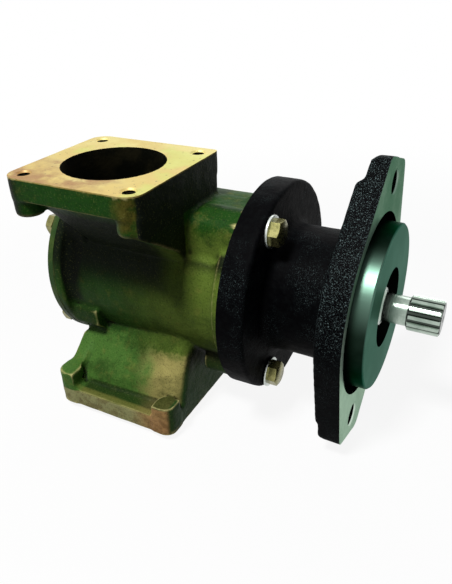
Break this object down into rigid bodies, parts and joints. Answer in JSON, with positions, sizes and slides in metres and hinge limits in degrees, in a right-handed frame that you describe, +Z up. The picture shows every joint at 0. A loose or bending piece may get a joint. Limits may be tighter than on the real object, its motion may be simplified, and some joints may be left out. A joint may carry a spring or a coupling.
{
  "type": "engine water pump",
  "caption": "Engine-driven flexible-impeller water pump: bronze body with square ports above and below, black bearing housing with an engine flange and pilot, and a splined shaft.",
  "frame": {"origin": "centre of the engine flange's mating face, on the shaft axis", "axes": "+X along the shaft towards its splined end, +Z up through the upper port's face, +Y away from the side that the ports stand out to"},
  "size_m": [0.2483, 0.1585, 0.176],
  "materials": {
    "cast_bronze": "as-cast bronze with a dark olive-green patina, port faces machined bright",
    "cover_bronze": "as-cast bronze with a faced rim",
    "machined_bronze": "machined",
    "black_iron": "rough cast, glossy black paint, flange face and pilot machined bare",
    "yellow_zinc": "yellow zinc plate",
    "white_zinc": "clear zinc plate",
    "shaft_steel": "ground and polished",
    "key_steel": "drawn",
    "stainless_pin": "ground",
    "pressed_stainless": "pressed stainless",
    "pressed_steel": "phosphated",
    "spring_steel": "oiled black oxide",
    "spacer_steel": "turned",
    "bearing_steel": "ground bearing steel",
    "ball_steel": "polished",
    "cage_steel": "pressed",
    "impeller_rubber": "moulded nitrile rubber",
    "black_rubber": "moulded",
    "brown_rubber": "moulded",
    "carbon": "lapped carbon",
    "ceramic": "lapped ceramic"
  },
  "bodies": {
    "pump_housing": {"pump_body": "cast_bronze", "end_cover": "cover_bronze", "cover_o_ring": "black_rubber", "cover_screws": "yellow_zinc", "adapter_housing": "black_iron", "engine_flange": "black_iron", "adapter_bolts": "yellow_zinc", "adapter_washers": "white_zinc", "cam": "machined_bronze", "cam_pin": "stainless_pin", "wear_plate": "machined_bronze", "wear_plate_pin": "stainless_pin", "seal_seat": "ceramic", "seal_seat_cup": "black_rubber", "lip_seal_case": "pressed_steel", "lip_seal_rubber": "brown_rubber", "front_bearing_outer_ring": "bearing_steel", "rear_bearing_outer_ring": "bearing_steel", "outer_spacer": "spacer_steel", "housing_retaining_ring": "spring_steel"},
    "rotor": {"drive_shaft": "shaft_steel", "impeller_rubber": "impeller_rubber", "impeller_hub": "machined_bronze", "impeller_key": "key_steel", "seal_carbon": "carbon", "seal_bellows": "black_rubber", "seal_retainer": "pressed_stainless", "seal_spring": "pressed_stainless", "slinger": "black_rubber", "front_bearing_inner_ring": "bearing_steel", "rear_bearing_inner_ring": "bearing_steel", "inner_spacer": "spacer_steel", "shaft_retaining_ring": "spring_steel"},
    "front_ball_set": {"front_bearing_balls": "ball_steel", "front_bearing_cage": "cage_steel"},
    "rear_ball_set": {"rear_bearing_balls": "ball_steel", "rear_bearing_cage": "cage_steel"}
  },
  "joints": [
    {"name": "shaft_spin", "type": "hinge", "parent": "pump_housing", "child": "rotor", "pos_m": [0, 0, 0], "axis": [1, 0, 0], "continuous": true, "deforming": ["impeller_rubber"]},
    {"name": "front_balls_orbit", "type": "hinge", "parent": "pump_housing", "child": "front_ball_set", "pos_m": [-0.0205, 0, 0], "axis": [1, 0, 0], "continuous": true},
    {"name": "rear_balls_orbit", "type": "hinge", "parent": "pump_housing", "child": "rear_ball_set", "pos_m": [-0.051, 0, 0], "axis": [1, 0, 0], "continuous": true}
  ],
  "couplings": [
    {"joint": "front_balls_orbit", "follows": "shaft_spin", "ratio": 0.36782},
    {"joint": "rear_balls_orbit", "follows": "shaft_spin", "ratio": 0.36782}
  ]
}
